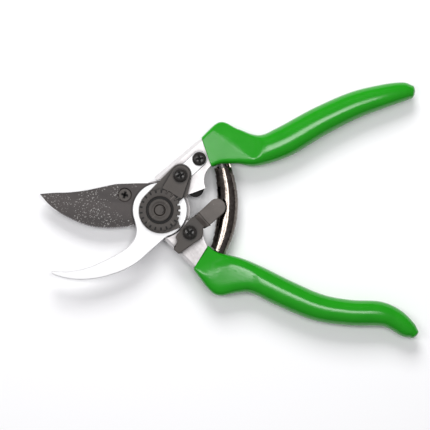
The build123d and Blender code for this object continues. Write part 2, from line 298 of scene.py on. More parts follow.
def closeTree(tree, given, geometry):
    # every tree ends by making its copies real and giving them the material
    real = tree.nodes.new("GeometryNodeRealizeInstances")
    coat = tree.nodes.new("GeometryNodeSetMaterial")
    tree.links.new(geometry, real.inputs["Geometry"])
    tree.links.new(real.outputs["Geometry"], coat.inputs["Geometry"])
    tree.links.new(given["Material"], coat.inputs["Material"])
    tree.links.new(coat.outputs["Geometry"], tree.nodes.new("NodeGroupOutput").inputs["Geometry"])
    return tree


def buildGrainGroup():
    # fine random grain: a mask for colour, and a height for bump
    inputs = {"Scale": 2500.0, "Contrast": 1.0}
    outputs = {"Mask": "NodeSocketFloat", "Height": "NodeSocketFloat"}
    tree, given, result = newGroup("fineGrain", inputs, outputs)
    place = tree.nodes.new("ShaderNodeTexCoord")
    fine = noiseNode(tree, place.outputs["Object"], given.outputs["Scale"], 3.0, 0.6)
    broad = noiseNode(tree, place.outputs["Object"], 140.0, 4.0, 0.55)
    mixed = mathNode(tree, "MULTIPLY", fine.outputs["Fac"], 0.65)
    mixed = mathNode(tree, "ADD", mixed, mathNode(tree, "MULTIPLY", broad.outputs["Fac"], 0.35))
    centred = mathNode(tree, "SUBTRACT", mixed, 0.5)
    scaled = mathNode(tree, "MULTIPLY", centred, given.outputs["Contrast"])
    mask = mathNode(tree, "ADD", scaled, 0.5, clamp=True)
    tree.links.new(mask, result.inputs["Mask"])
    tree.links.new(fine.outputs["Fac"], result.inputs["Height"])
    return tree


def buildBrushGroup():
    # streaks along X of the given length, as a grinding belt leaves
    inputs = {"Across": 3000.0, "Along": 60.0, "Turn": 0.0}
    outputs = {"Mask": "NodeSocketFloat", "Height": "NodeSocketFloat"}
    tree, given, result = newGroup("beltMarks", inputs, outputs)
    place = tree.nodes.new("ShaderNodeTexCoord")
    spin = tree.nodes.new("ShaderNodeVectorRotate")
    spin.rotation_type = "Z_AXIS"
    tree.links.new(place.outputs["Object"], spin.inputs["Vector"])
    tree.links.new(given.outputs["Turn"], spin.inputs["Angle"])
    split = tree.nodes.new("ShaderNodeSeparateXYZ")
    tree.links.new(spin.outputs["Vector"], split.inputs["Vector"])
    join = tree.nodes.new("ShaderNodeCombineXYZ")
    tree.links.new(mathNode(tree, "MULTIPLY", split.outputs["X"], given.outputs["Along"]), join.inputs["X"])
    tree.links.new(mathNode(tree, "MULTIPLY", split.outputs["Y"], given.outputs["Across"]), join.inputs["Y"])
    tree.links.new(mathNode(tree, "MULTIPLY", split.outputs["Z"], given.outputs["Across"]), join.inputs["Z"])
    streaks = noiseNode(tree, join.outputs["Vector"], 1.0, 4.0, 0.65)
    tree.links.new(streaks.outputs["Fac"], result.inputs["Mask"])
    tree.links.new(streaks.outputs["Fac"], result.inputs["Height"])
    return tree


def buildEdgeGroup():
    # 1 on outer edges, lighter there as rubbed wear and as painted highlight; 0 on flats and in hollows
    inputs = {"From": 0.52, "To": 0.6, "Breakup": 0.5}
    tree, given, result = newGroup("edgeWearAndHighlight", inputs, {"Mask": "NodeSocketFloat"})
    geometry = tree.nodes.new("ShaderNodeNewGeometry")
    place = tree.nodes.new("ShaderNodeTexCoord")
    patch = noiseNode(tree, place.outputs["Object"], 420.0, 3.0)
    spread = tree.nodes.new("ShaderNodeMapRange")
    tree.links.new(geometry.outputs["Pointiness"], spread.inputs["Value"])
    tree.links.new(given.outputs["From"], spread.inputs["From Min"])
    tree.links.new(given.outputs["To"], spread.inputs["From Max"])
    loss = mathNode(tree, "MULTIPLY", patch.outputs["Fac"], given.outputs["Breakup"])
    kept = mathNode(tree, "SUBTRACT", 1.0, loss)
    mask = mathNode(tree, "MULTIPLY", spread.outputs["Result"], kept, clamp=True)
    tree.links.new(mask, result.inputs["Mask"])
    return tree


def buildSpeckGroup():
    # sparse bright flecks, in clusters
    inputs = {"Scale": 1400.0, "Above": 0.66, "Cluster": 0.5}
    tree, given, result = newGroup("coatFlecks", inputs, {"Mask": "NodeSocketFloat"})
    place = tree.nodes.new("ShaderNodeTexCoord")
    fine = noiseNode(tree, place.outputs["Object"], given.outputs["Scale"], 1.0)
    broad = noiseNode(tree, place.outputs["Object"], 70.0, 2.0)
    there = mathNode(tree, "GREATER_THAN", broad.outputs["Fac"], given.outputs["Cluster"])
    over = mathNode(tree, "SUBTRACT", fine.outputs["Fac"], given.outputs["Above"])
    mask = mathNode(tree, "MULTIPLY", mathNode(tree, "MULTIPLY", over, 18.0, clamp=True), there, clamp=True)
    tree.links.new(mask, result.inputs["Mask"])
    return tree


def buildCreviceShadeGroup():
    # painted shade: 1 in tight gaps and under edges, where shade falls, and 0 in the open
    inputs = {"Reach": 0.0016, "From": 0.45, "To": 0.95}
    tree, given, result = newGroup("paintedCreviceShade", inputs, {"Mask": "NodeSocketFloat"})
    near = tree.nodes.new("ShaderNodeAmbientOcclusion")
    near.samples = 8
    tree.links.new(given.outputs["Reach"], near.inputs["Distance"])
    spread = tree.nodes.new("ShaderNodeMapRange")
    tree.links.new(near.outputs["AO"], spread.inputs["Value"])
    tree.links.new(given.outputs["From"], spread.inputs["From Min"])
    tree.links.new(given.outputs["To"], spread.inputs["From Max"])
    spread.inputs["To Min"].default_value = 1.0
    spread.inputs["To Max"].default_value = 0.0
    tree.links.new(spread.outputs["Result"], result.inputs["Mask"])
    return tree


grainGroup = buildGrainGroup()
brushGroup = buildBrushGroup()
edgeGroup = buildEdgeGroup()
creviceShadeGroup = buildCreviceShadeGroup()
speckGroup = buildSpeckGroup()
print("shader groups ready")


class Shader:
    # one material with its Principled node, and short ways to feed it

    def __init__(self, name, color, metallic, roughness):
        self.material = bpy.data.materials.new(name)
        self.material.use_nodes = True
        self.tree = self.material.node_tree
        self.main = self.tree.nodes["Principled BSDF"]
        self.main.inputs["Base Color"].default_value = (*color, 1)
        self.main.inputs["Metallic"].default_value = metallic
        self.main.inputs["Roughness"].default_value = roughness

    def group(self, group, **values):
        node = self.tree.nodes.new("ShaderNodeGroup")
        node.node_tree = group
        for label, value in values.items():
            node.inputs[label].default_value = value
        return node.outputs

    def mixColor(self, mask, a, b):
        mix = self.tree.nodes.new("ShaderNodeMix")
        mix.data_type = "RGBA"
        self.tree.links.new(mask, mix.inputs["Factor"])
        for index, value in ((6, a), (7, b)):
            if isinstance(value, tuple):
                mix.inputs[index].default_value = (*value, 1)
            else:
                self.tree.links.new(value, mix.inputs[index])
        return mix.outputs[2]

    def span(self, mask, low, high):
        node = self.tree.nodes.new("ShaderNodeMapRange")
        self.tree.links.new(mask, node.inputs["Value"])
        node.inputs["To Min"].default_value = low
        node.inputs["To Max"].default_value = high
        return node.outputs["Result"]

    def feed(self, socket, source):
        self.tree.links.new(source, self.main.inputs[socket])

    def bump(self, height, strength, distance, under=None):
        node = self.tree.nodes.new("ShaderNodeBump")
        node.inputs["Strength"].default_value = strength
        node.inputs["Distance"].default_value = distance
        self.tree.links.new(height, node.inputs["Height"])
        if under is not None:
            self.tree.links.new(under, node.inputs["Normal"])
        return node.outputs["Normal"]


def greenDip():
    # thick dipped vinyl: glossy, a little uneven, cloudier where it has pooled
    s = Shader("greenDip", (0.008, 0.28, 0.004), 0.0, 0.2)
    grain = s.group(grainGroup, Scale=90.0, Contrast=1.4)
    s.feed("Base Color", s.mixColor(grain["Mask"], (0.006, 0.25, 0.003), (0.011, 0.3, 0.005)))
    s.feed("Roughness", s.span(grain["Mask"], 0.15, 0.24))
    peel = s.group(grainGroup, Scale=260.0, Contrast=1.0)
    s.feed("Normal", s.bump(peel["Height"], 0.06, 0.0006))
    s.main.inputs["Specular IOR Level"].default_value = 0.42
    s.main.inputs["Sheen Weight"].default_value = 0.12
    s.main.inputs["Sheen Roughness"].default_value = 0.25
    s.main.inputs["Sheen Tint"].default_value = (0.8, 1, 0.8, 1)
    s.main.inputs["Subsurface Weight"].default_value = 0.04
    s.main.inputs["Subsurface Radius"].default_value = (0.001, 0.004, 0.001)
    return s.material


def castAluminium():
    # fine casting, belt ground on its flats, with darker pores, edges lighter as wear and painted highlight,
    # and painted shade in its corners
    s = Shader("castAluminium", (0.8, 0.77, 0.77), 0.3, 0.42)
    grain = s.group(grainGroup, Scale=900.0, Contrast=3.2)
    brush = s.group(brushGroup, Across=900.0, Along=110.0, Turn=0.95)
    edge = s.group(edgeGroup, From=0.5, To=0.56, Breakup=0.3)
    creviceShade = s.group(creviceShadeGroup, Reach=0.003, From=0.5, To=0.97)
    cast = s.mixColor(grain["Mask"], (0.5, 0.475, 0.475), (0.76, 0.73, 0.735))
    base = s.mixColor(brush["Mask"], (0.3, 0.28, 0.28), cast)
    # edges lighter: rubbed wear and painted highlight
    base = s.mixColor(edge["Mask"], base, (0.8, 0.78, 0.78))
    # painted shade in corners and gaps
    s.feed("Base Color", s.mixColor(creviceShade["Mask"], base, (0.1, 0.09, 0.09)))
    s.feed("Roughness", s.span(brush["Mask"], 0.28, 0.52))
    rough = s.bump(grain["Height"], 0.35, 0.00015)
    s.feed("Normal", s.bump(brush["Height"], 0.3, 0.00012, rough))
    return s.material


def polishedSteel():
    s = Shader("polishedSteel", (0.88, 0.88, 0.885), 0.15, 0.3)
    brush = s.group(brushGroup, Across=2600.0, Along=40.0, Turn=0.35)
    creviceShade = s.group(creviceShadeGroup, Reach=0.0012, From=0.3, To=0.85)
    base = s.mixColor(brush["Mask"], (0.66, 0.66, 0.67), (0.76, 0.76, 0.765))
    # painted shade in corners and gaps
    s.feed("Base Color", s.mixColor(creviceShade["Mask"], base, (0.2, 0.19, 0.19)))
    s.feed("Roughness", s.span(brush["Mask"], 0.24, 0.36))
    s.feed("Normal", s.bump(brush["Height"], 0.05, 0.00005))
    return s.material


def groundSteel():
    # the bright land that is ground along the blade's edge
    s = Shader("groundSteel", (0.75, 0.74, 0.73), 1.0, 0.25)
    brush = s.group(brushGroup, Across=90.0, Along=3500.0, Turn=0.0)
    s.feed("Base Color", s.mixColor(brush["Mask"], (0.6, 0.59, 0.58), (0.86, 0.85, 0.85)))
    s.feed("Roughness", s.span(brush["Mask"], 0.18, 0.36))
    s.feed("Normal", s.bump(brush["Height"], 0.12, 0.00008))
    return s.material


def darkCoat(name, tone, speck, fleckAbove=0.8, scuff=0.0):
    # dark satin coat over steel, with fine lighter specks, edges lighter as rubbed wear and painted
    # highlight, and painted shade in its crevices
    s = Shader(name, tone, 0.0, 0.42)
    s.main.inputs["Specular IOR Level"].default_value = 0.26
    grain = s.group(grainGroup, Scale=2600.0, Contrast=speck)
    edge = s.group(edgeGroup, From=0.52, To=0.62, Breakup=0.6)
    dark = tuple(c * 0.72 for c in tone)
    light = tuple(c * 1.45 for c in tone)
    wearAndHighlight = tuple(min(1.0, c * 2.6) for c in tone)
    base = s.mixColor(grain["Mask"], dark, light)
    rub = s.group(grainGroup, Scale=55.0, Contrast=2.6)
    base = s.mixColor(s.span(rub["Mask"], 0.0, scuff), base, tuple(min(1.0, c * 3.2) for c in tone))
    # edges lighter: rubbed wear and painted highlight
    base = s.mixColor(edge["Mask"], base, wearAndHighlight)
    fleck = s.group(speckGroup, Scale=1500.0, Above=fleckAbove, Cluster=0.47)
    base = s.mixColor(fleck["Mask"], base, (0.3, 0.29, 0.28))
    creviceShade = s.group(creviceShadeGroup, Reach=0.0016, From=0.45, To=0.97)
    # painted shade in crevices
    s.feed("Base Color", s.mixColor(creviceShade["Mask"], base, (0.004, 0.0035, 0.003)))
    s.feed("Roughness", s.span(grain["Mask"], 0.34, 0.52))
    s.feed("Normal", s.bump(grain["Height"], 0.18, 0.00006))
    return s.material


def blackOxide():
    s = Shader("blackOxide", (0.014, 0.013, 0.012), 0.1, 0.26)
    s.main.inputs["Specular IOR Level"].default_value = 0.4
    grain = s.group(grainGroup, Scale=1800.0, Contrast=1.5)
    edge = s.group(edgeGroup, From=0.53, To=0.66, Breakup=0.6)
    base = s.mixColor(grain["Mask"], (0.008, 0.007, 0.0065), (0.026, 0.023, 0.021))
    # edges lighter: rubbed wear and painted highlight
    s.feed("Base Color", s.mixColor(edge["Mask"], base, (0.16, 0.15, 0.14)))
    s.feed("Roughness", s.span(grain["Mask"], 0.2, 0.34))
    s.feed("Normal", s.bump(grain["Height"], 0.1, 0.00005))
    return s.material


def deepShade():
    # painted shade: a near-black colour put on recesses and grooves where shade falls
    s = Shader("paintedRecessShade", (0.006, 0.0055, 0.005), 0.0, 0.7)
    grain = s.group(grainGroup, Scale=1600.0, Contrast=2.0)
    s.feed("Base Color", s.mixColor(grain["Mask"], (0.003, 0.003, 0.003), (0.013, 0.012, 0.011)))
    s.feed("Roughness", s.span(grain["Mask"], 0.55, 0.8))
    return s.material


def darkNickel():
    s = Shader("darkNickel", (0.3, 0.26, 0.21), 1.0, 0.16)
    grain = s.group(grainGroup, Scale=600.0, Contrast=2.2)
    s.feed("Base Color", s.mixColor(grain["Mask"], (0.05, 0.038, 0.03), (0.24, 0.215, 0.195)))
    s.feed("Roughness", s.span(grain["Mask"], 0.07, 0.17))
    s.feed("Normal", s.bump(grain["Height"], 0.08, 0.00005))
    return s.material


def bronze():
    s = Shader("bronze", (0.55, 0.36, 0.15), 1.0, 0.35)
    grain = s.group(grainGroup, Scale=1400.0, Contrast=1.6)
    s.feed("Base Color", s.mixColor(grain["Mask"], (0.46, 0.29, 0.11), (0.66, 0.45, 0.2)))
    s.feed("Roughness", s.span(grain["Mask"], 0.28, 0.44))
    s.feed("Normal", s.bump(grain["Height"], 0.12, 0.00005))
    return s.material


def blackRubber():
    s = Shader("blackRubber", (0.012, 0.012, 0.012), 0.0, 0.62)
    s.main.inputs["Specular IOR Level"].default_value = 0.18
    grain = s.group(grainGroup, Scale=1100.0, Contrast=1.4)
    s.feed("Base Color", s.mixColor(grain["Mask"], (0.004, 0.004, 0.004), (0.013, 0.012, 0.012)))
    s.feed("Roughness", s.span(grain["Mask"], 0.5, 0.72))
    s.feed("Normal", s.bump(grain["Height"], 0.25, 0.0001))
    return s.material


green = greenDip()
aluminium = castAluminium()
steel = polishedSteel()
ground = groundSteel()
bladeCoat = darkCoat("bladeCoat", (0.034, 0.029, 0.028), 3.6, 0.63)
padCoat = darkCoat("padCoat", (0.05, 0.044, 0.04), 2.6, 0.72, 0.9)
lockCoat = darkCoat("lockCoat", (0.046, 0.04, 0.036), 2.2)
oxide = blackOxide()
recessShade = deepShade()
nickel = darkNickel()
bushBronze = bronze()
rubber = blackRubber()
print("materials ready")


# stations from the head to the tip: left edge, right edge, thickness, squareness of the section
gripSizes = {
    "midHeight": 8.0,
    "ringPoints": 96,
    "stationSteps": 14,
    "softCut": 0.22,
    "tipRings": 7,
    "lip": 1.1,
    "lipShift": 0.35,
    "tipLength": 0.55,  # as a share of half the tip's width
    "hook": [
        ((21.8, 38.5), (27.3, 22.7), 13.8, 5.5),
        ((31.6, 46.7), (32.3, 24.4), 14.6, 5.0),
        ((41.2, 43.1), (40.8, 24.4), 15.4, 4.2),
        ((52.2, 39.8), (51.5, 23.3), 15.8, 2.8),
        ((62.5, 43.9), (69.0, 28.8), 15.9, 2.4),
        ((81.0, 53.9), (88.0, 40.0), 15.9, 2.3),
        ((100.5, 62.4), (105.5, 48.9), 15.4, 2.3),
        ((117.0, 66.5), (119.5, 54.2), 14.2, 2.3),
        ((128.5, 67.8), (129.3, 57.7), 11.6, 2.2),
        ((133.6, 66.2), (132.6, 59.0), 8.6, 2.1),
    ],
    "blade": [
        ((25.4, -18.6), (17.5, -31.4), 13.8, 5.5),
        ((30.6, -22.2), (28.9, -44.6), 14.6, 5.0),
        ((42.9, -25.3), (41.0, -43.8), 15.4, 3.6),
        ((54.0, -29.9), (48.5, -44.1), 15.8, 2.6),
        ((69.0, -37.3), (62.0, -50.6), 15.9, 2.4),
        ((86.0, -44.6), (81.0, -58.3), 15.9, 2.3),
        ((101.2, -47.5), (99.5, -61.1), 15.4, 2.3),
        ((117.0, -48.4), (116.0, -61.4), 14.2, 2.3),
        ((127.5, -53.0), (121.5, -63.0), 12.4, 2.2),
        ((134.4, -59.6), (128.4, -66.9), 10.0, 2.1),
        ((136.8, -63.7), (132.4, -67.4), 7.2, 2.1),
    ],
}


def sectionPoint(left, right, thickness, power, angle, shrink=0.0):
    # a point on a rounded section, angle 0 at the left edge and 90 on top
    c, s = math.cos(angle), math.sin(angle)
    half = (Vector(left) - Vector(right)).length / 2 - shrink
    across = (Vector(left) - Vector(right)).normalized()
    u = math.copysign(abs(c) ** (2 / power), c) * half
    v = math.copysign(abs(s) ** (2 / power), s) * (thickness / 2 - shrink)
    centre = (Vector(left) + Vector(right)) / 2 + across * u
    return Vector((centre.x, centre.y, gripSizes["midHeight"] + v))


# flats and ridges moulded into the top of each root: a line (a point and a direction), and how far
# the surface drops at each distance to its left
gripTerraces = {
    "greenGripLower": [
        {
            "at": (23.7, -35.7),
            "along": (14.0, 7.4),
            "steps": [(-60, 0), (0, 0.2), (4.3, 1.3), (5.2, 1.35), (14, 3.4)],
        },
    ],
    "greenGripUpper": [
        {"at": (28.7, 32.6), "along": (15.5, -6.4), "steps": [(-60, 0), (-1.5, 0.3), (1.0, 0.35), (20, 3.0)]},
        {"at": (48.4, 26.0), "along": (-0.9, 7.6), "steps": [(-60, 0), (0, 0), (0.7, 0.6), (26, 1.8)]},
    ],
}
terraceSizes = {
    "reach": 58.0,
    "fadeLength": 9,
    "fadeLift": 4,
    "above": 2,  # only points this far above mid-height are cut
    "ceiling": 7.9,
}


def stepDown(steps, s):
    for (a, dropA), (b, dropB) in zip(steps, steps[1:]):
        if a <= s <= b:
            return dropA + (dropB - dropA) * (s - a) / (b - a)
    return steps[-1][1]


def softMin(a, b, soft):
    h = max(0.0, min(1.0, 0.5 + 0.5 * (b - a) / soft))
    return b + (a - b) * h - soft * h * (1 - h)


def terraceHeight(name, x, y, ceiling):
    height = ceiling
    for terrace in gripTerraces[name]:
        along = Vector(terrace["along"]).normalized()
        away = Vector((-along.y, along.x))
        s = (Vector((x, y)) - Vector(terrace["at"])).dot(away)
        height = min(height, ceiling - stepDown(terrace["steps"], s))
    return height


def cutTop(name, point):
    # the root's top follows the terraces; further along, the grip is a plain tube
    size = terraceSizes
    if point.x > size["reach"] or point.z < gripSizes["midHeight"] + size["above"]:
        return point
    ceiling = gripSizes["midHeight"] + size["ceiling"]
    fade = max(0.0, point.x - size["reach"] + size["fadeLength"]) / size["fadeLength"]
    limit = terraceHeight(name, point.x, point.y, ceiling) + size["fadeLift"] * fade ** 2
    return Vector((point.x, point.y, softMin(point.z, limit, gripSizes["softCut"] * 2)))


def makeGrip(name, stations, body, node):
    flat = [(*left, *right, thickness, power) for left, right, thickness, power in stations]
    fine = catmull(flat, gripSizes["stationSteps"])
    count = gripSizes["ringPoints"]
    angles = [2 * math.pi * i / count for i in range(count)]
    rings = []
    first = fine[0]
    ahead = (Vector(fine[1][:2]) - Vector(first[:2])).normalized() * gripSizes["lipShift"]
    for turn in (0, 30, 60):  # the rolled lip where the dip ends
        inset = gripSizes["lip"] * (1 - math.sin(math.radians(turn)))
        shift = 1 - math.cos(math.radians(turn))
        ring = [sectionPoint(first[:2], first[2:4], first[4], first[5], a, inset) for a in angles]
        rings.append([p + Vector((ahead.x, ahead.y, 0)) * shift for p in ring])
    for row in fine[1:]:
        rings.append([sectionPoint(row[:2], row[2:4], row[4], row[5], a) for a in angles])
    last = fine[-1]
    left, right = Vector(last[:2]), Vector(last[2:4])
    across = (left - right).normalized()
    onward = Vector((across.y, -across.x))
    radius = (left - right).length / 2
    for step in range(1, gripSizes["tipRings"]):
        t = math.pi / 2 * step / gripSizes["tipRings"]
        centre = (left + right) / 2 + onward * radius * gripSizes["tipLength"] * math.sin(t)
        half = radius * math.cos(t)
        a, b = centre + across * half, centre - across * half
        rings.append([sectionPoint(a, b, last[4] * math.cos(t), last[5], angle) for angle in angles])
    bm = bmesh.new()
    rows = [[bm.verts.new(cutTop(name, p) * mm) for p in ring] for ring in rings]
    for low, high in zip(rows, rows[1:]):
        for i in range(count):
            j = (i + 1) % count
            bm.faces.new((low[i], low[j], high[j], high[i]))
    bm.faces.new(list(reversed(rows[0])))
    bm.faces.new(rows[-1])
    piece = closedPiece(name, bm)
    for face in piece.data.polygons:
        face.use_smooth = True
    return finishPiece(piece, body, "green_coating", [node], green)


def catmull(rows, steps):
    # smooth rows of numbers, the ends kept
    def row(i):
        if i < 0:
            return [2 * a - b for a, b in zip(rows[0], rows[1])]
        if i >= len(rows):
            return [2 * a - b for a, b in zip(rows[-1], rows[-2])]
        return rows[i]
    out = []
    for i in range(len(rows) - 1):
        a, b, c, d = row(i - 1), row(i), row(i + 1), row(i + 2)
        for k in range(steps):
            t = k / steps
            out.append([
                0.5 * (2 * q + (r - p) * t + (2 * p - 5 * q + 4 * r - s) * t * t
                       + (3 * q - p - 3 * r + s) * t ** 3)
                for p, q, r, s in zip(a, b, c, d)
            ])
    out.append(list(rows[-1]))
    return out


makeGrip("greenGripUpper", gripSizes["hook"], "hook_side", "hook_handle_grip")
makeGrip("greenGripLower", gripSizes["blade"], "blade_side", "blade_handle_grip")


bladeSizes = {
    "land": 0.5,
    "landDepth": 0.22,
    "ground": 4.2,
    "groundDepth": 2.2,
    "rootRadius": 14.0,
    "screw": (-18.7, 8.1),
    "screwSeat": 3.85,
    "screwSink": 1.9,
    "screwHole": 2.0,
    "spine": [
        (-63.6, 8.6), (-56.3, 9.2), (-48.7, 9.4), (-40.5, 10.3), (-33.4, 11.7), (-27.4, 13.0), (-23.1, 13.9),
    ],
    "back": [(-23.1, 13.9), (-13.2, 14.25), (-4.0, 14.3)],
    "edge": [
        (-13.4, -7.1), (-16.6, -8.6), (-20.3, -9.1), (-25.9, -9.5), (-31.4, -9.3), (-36.5, -8.6),
        (-42.6, -6.7), (-48.7, -3.8), (-53.7, -1.0), (-58.8, 3.0), (-63.6, 8.6),
    ],
}


def makeBlade():
    size = bladeSizes
    edge = smoothLine(size["edge"], 6)
    spine = smoothLine(size["spine"], 4)[1:]
    root = ringPoints((0, 0), size["rootRadius"], 40, 92, -150)
    fixed = spine[:-1] + size["back"] + root

    def outline(back):
        # the cutting edge, moved back by that much, less at its two ends
        line = []
        for i, (x, y) in enumerate(edge):
            share = min(1.0, i / 10, (len(edge) - 1 - i) / 22)
            line.append((x, y + back * share))
        return line + fixed

    low, high = bladeLow.z / mm, bladeHigh.z / mm
    layers = [
        (outline(size["ground"]), low),
        (outline(0), low + size["groundDepth"]),
        (outline(0), high - size["landDepth"]),
        (outline(size["land"]), high),
    ]
    piece = layered("curvedBlade", layers)
    count = len(layers[0][0])
    bright = [s * count + i for s in (0, 2) for i in range(len(edge) - 1)]
    for i in bright:
        piece.data.polygons[i].material_index = 1
    seat = size["screwSeat"]
    hole, under, top = size["screwHole"], low - 1, high + 1
    sink = [(0, under), (hole, under), (hole, high - size["screwSink"]), (seat, high), (seat, top), (0, top)]
    cone = turnedPiece("cone", sink, size["screw"])
    piece.data.materials.append(bladeCoat)
    piece.data.materials.append(ground)
    combine(piece, [cone], "DIFFERENCE")
    shade(piece, 20)
    return finishPiece(piece, "blade_side", "dark_steel", ["cutting_blade"], bladeCoat, ground)


makeBlade()


hookSizes = {
    "ring": 14.4,
    "tangHalf": 4.2,
    "tangEnd": (20.8, 27.1),
    "tangRoot": (3.25, 10.73),
    "soft": 0.55,
    "outer": [
        (3.4, -14.0), (-1.0, -18.0), (-5.1, -21.6), (-10.1, -26.2), (-15.2, -29.7), (-20.3, -32.2),
        (-25.9, -34.2), (-31.0, -35.6), (-37.5, -36.5), (-43.6, -36.7), (-48.7, -36.1), (-53.7, -34.9),
        (-57.0, -33.7),
    ],
    "inner": [
        (-57.3, -31.9), (-52.7, -32.35), (-48.7, -32.35), (-42.6, -31.4), (-36.5, -29.7), (-30.4, -27.1),
        (-24.3, -24.1), (-18.2, -20.4), (-15.2, -17.5), (-13.2, -14.5), (-12.4, -11.0), (-12.8, -7.9),
        (-13.75, -4.2),
    ],
}


def makeHook():
    size = hookSizes
    low, high = hookLow.z / mm, hookHigh.z / mm
    arm = smoothLine(size["outer"], 5) + smoothLine(size["inner"], 5) + [(-6, 0), (3.4, -6)]
    piece = prism("hookBlade", arm, low, high)
    ring = prism("ring", ringPoints((0, 0), size["ring"], 120), low, high)
    half = size["tangHalf"]
    outline = hullPoints(ringPoints(size["tangRoot"], half, 48), ringPoints(size["tangEnd"], half, 48))
    combine(piece, [ring, prism("tang", outline, low, high)], "UNION")
    flatten(piece)
    soften(piece, size["soft"], 3, 35)
    return finishPiece(piece, "hook_side", "polished_steel", ["counter_blade"], steel)


makeHook()


nutSizes = {
    "teeth": 21,
    "tip": 10.9,
    "notchDepth": 1.9,
    "notchWidth": 1.0,
    "phase": 33.7,
    "steps": 22,
    "face": 5.9,
    "groove": 1.4,
    "grooveDepth": 0.8,
    "grooveSoft": 0.15,
    "faceSoft": 0.45,
    "soft": 0.22,
    "dish": 0.12,
    "dishRadius": 4.0,
    "bore": 3.02,
}


def nutTree():
    # a profile swept round the axis, then drawn in where each notch is
    kinds = {
        "Profile": "Geometry", "Teeth": "Int", "Steps": "Int", "Root Radius": "Float", "Notch Width": "Float",
        "Phase": "Float",
    }
    tree, link, given, sums = openTree("toothedNut", kinds)
    grid = tree.nodes.new("GeometryNodeMeshGrid")
    grid.inputs["Size X"].default_value = 1.0
    grid.inputs["Size Y"].default_value = 1.0
    columns = sums("ADD", sums("MULTIPLY", given["Teeth"], given["Steps"]), 1.0)
    link(columns, grid.inputs["Vertices X"])
    count = tree.nodes.new("GeometryNodeAttributeDomainSize")
    link(given["Profile"], count.inputs["Geometry"])
    link(count.outputs["Point Count"], grid.inputs["Vertices Y"])
    # each row of the grid takes its radius and height from one point of the profile
    index = tree.nodes.new("GeometryNodeInputIndex")
    row = sums("MODULO", index.outputs[0], count.outputs["Point Count"])
    column = sums("FLOOR", sums("DIVIDE", index.outputs[0], count.outputs["Point Count"]))
    place = tree.nodes.new("GeometryNodeInputPosition")
    sample = tree.nodes.new("GeometryNodeSampleIndex")
    sample.data_type = "FLOAT_VECTOR"
    link(given["Profile"], sample.inputs["Geometry"])
    link(place.outputs[0], sample.inputs["Value"])
    link(row, sample.inputs["Index"])
    split = tree.nodes.new("ShaderNodeSeparateXYZ")
    link(sample.outputs[0], split.inputs[0])
    turn = sums("DIVIDE", sums("MULTIPLY", column, 2 * math.pi), sums("SUBTRACT", columns, 1.0))
    tooth = sums("DIVIDE", sums("MULTIPLY", turn, given["Teeth"]), 2 * math.pi)
    offset = sums("ABSOLUTE", sums("SUBTRACT", sums("FRACT", sums("ADD", tooth, 0.5)), 0.5))
    rim = sums("MULTIPLY", sums("MULTIPLY", offset, 2 * math.pi), split.outputs["X"])
    arc = sums("DIVIDE", rim, given["Teeth"])
    inside = sums("LESS_THAN", arc, sums("MULTIPLY", given["Notch Width"], 0.5))
    beyond = sums("MAXIMUM", sums("SUBTRACT", split.outputs["X"], given["Root Radius"]), 0.0)
    radius = sums("SUBTRACT", split.outputs["X"], sums("MULTIPLY", sums("MULTIPLY", beyond, inside), 0.94))
    angle = sums("ADD", turn, given["Phase"])
    x = sums("MULTIPLY", radius, sums("COSINE", angle))
    y = sums("MULTIPLY", radius, sums("SINE", angle))
    drawn = vectorOf(tree, x, y, split.outputs["Z"])
    sweep = moved(tree, "SetPosition", grid.outputs["Mesh"], "Position", drawn)
    close = tree.nodes.new("GeometryNodeMergeByDistance")
    close.inputs["Distance"].default_value = 1e-7
    link(sweep, close.inputs["Geometry"])
    return closeTree(tree, given, close.outputs["Geometry"])


def outward(piece):
    bm = bmesh.new()
    bm.from_mesh(piece.data)
    bmesh.ops.remove_doubles(bm, verts=bm.verts[:], dist=1e-7)
    bmesh.ops.recalc_face_normals(bm, faces=bm.faces[:])
    if bm.calc_volume(signed=True) < 0:
        bmesh.ops.reverse_faces(bm, faces=bm.faces[:])
    print("volume of", piece.name, "mm3:", round(bm.calc_volume(signed=True) / mm ** 3, 1))
    bm.to_mesh(piece.data)
    bm.free()


def grow(name, tree, values, base=None):
    # a mesh with the tree on it; inputs are set by their identifiers, then it is made a plain mesh
    piece = addObject(name, base or bpy.data.meshes.new(name))
    modifier = piece.modifiers.new("grow", "NODES")
    modifier.node_group = tree
    for item in tree.interface.items_tree:
        if item.in_out == "INPUT" and item.name in values:
            modifier[item.identifier] = values[item.name]
    bake(piece)
    piece.data.materials.clear()
    for face in piece.data.polygons:
        face.material_index = 0
    return piece


def roundedProfile(corners, steps=3):
    # corners of (radius, height, rounding), turned into points
    points = []
    for i, (r, z, soft) in enumerate(corners):
        here = Vector((r, z))
        before = Vector(corners[i - 1][:2])
        after = Vector(corners[(i + 1) % len(corners)][:2])
        if not soft:
            points.append(tuple(here))
            continue
        a = here + (before - here).normalized() * soft
        b = here + (after - here).normalized() * soft
        for k in range(steps + 1):
            s = k / steps
            points.append(tuple(a * (1 - s) ** 2 + here * 2 * s * (1 - s) + b * s * s))
    return points


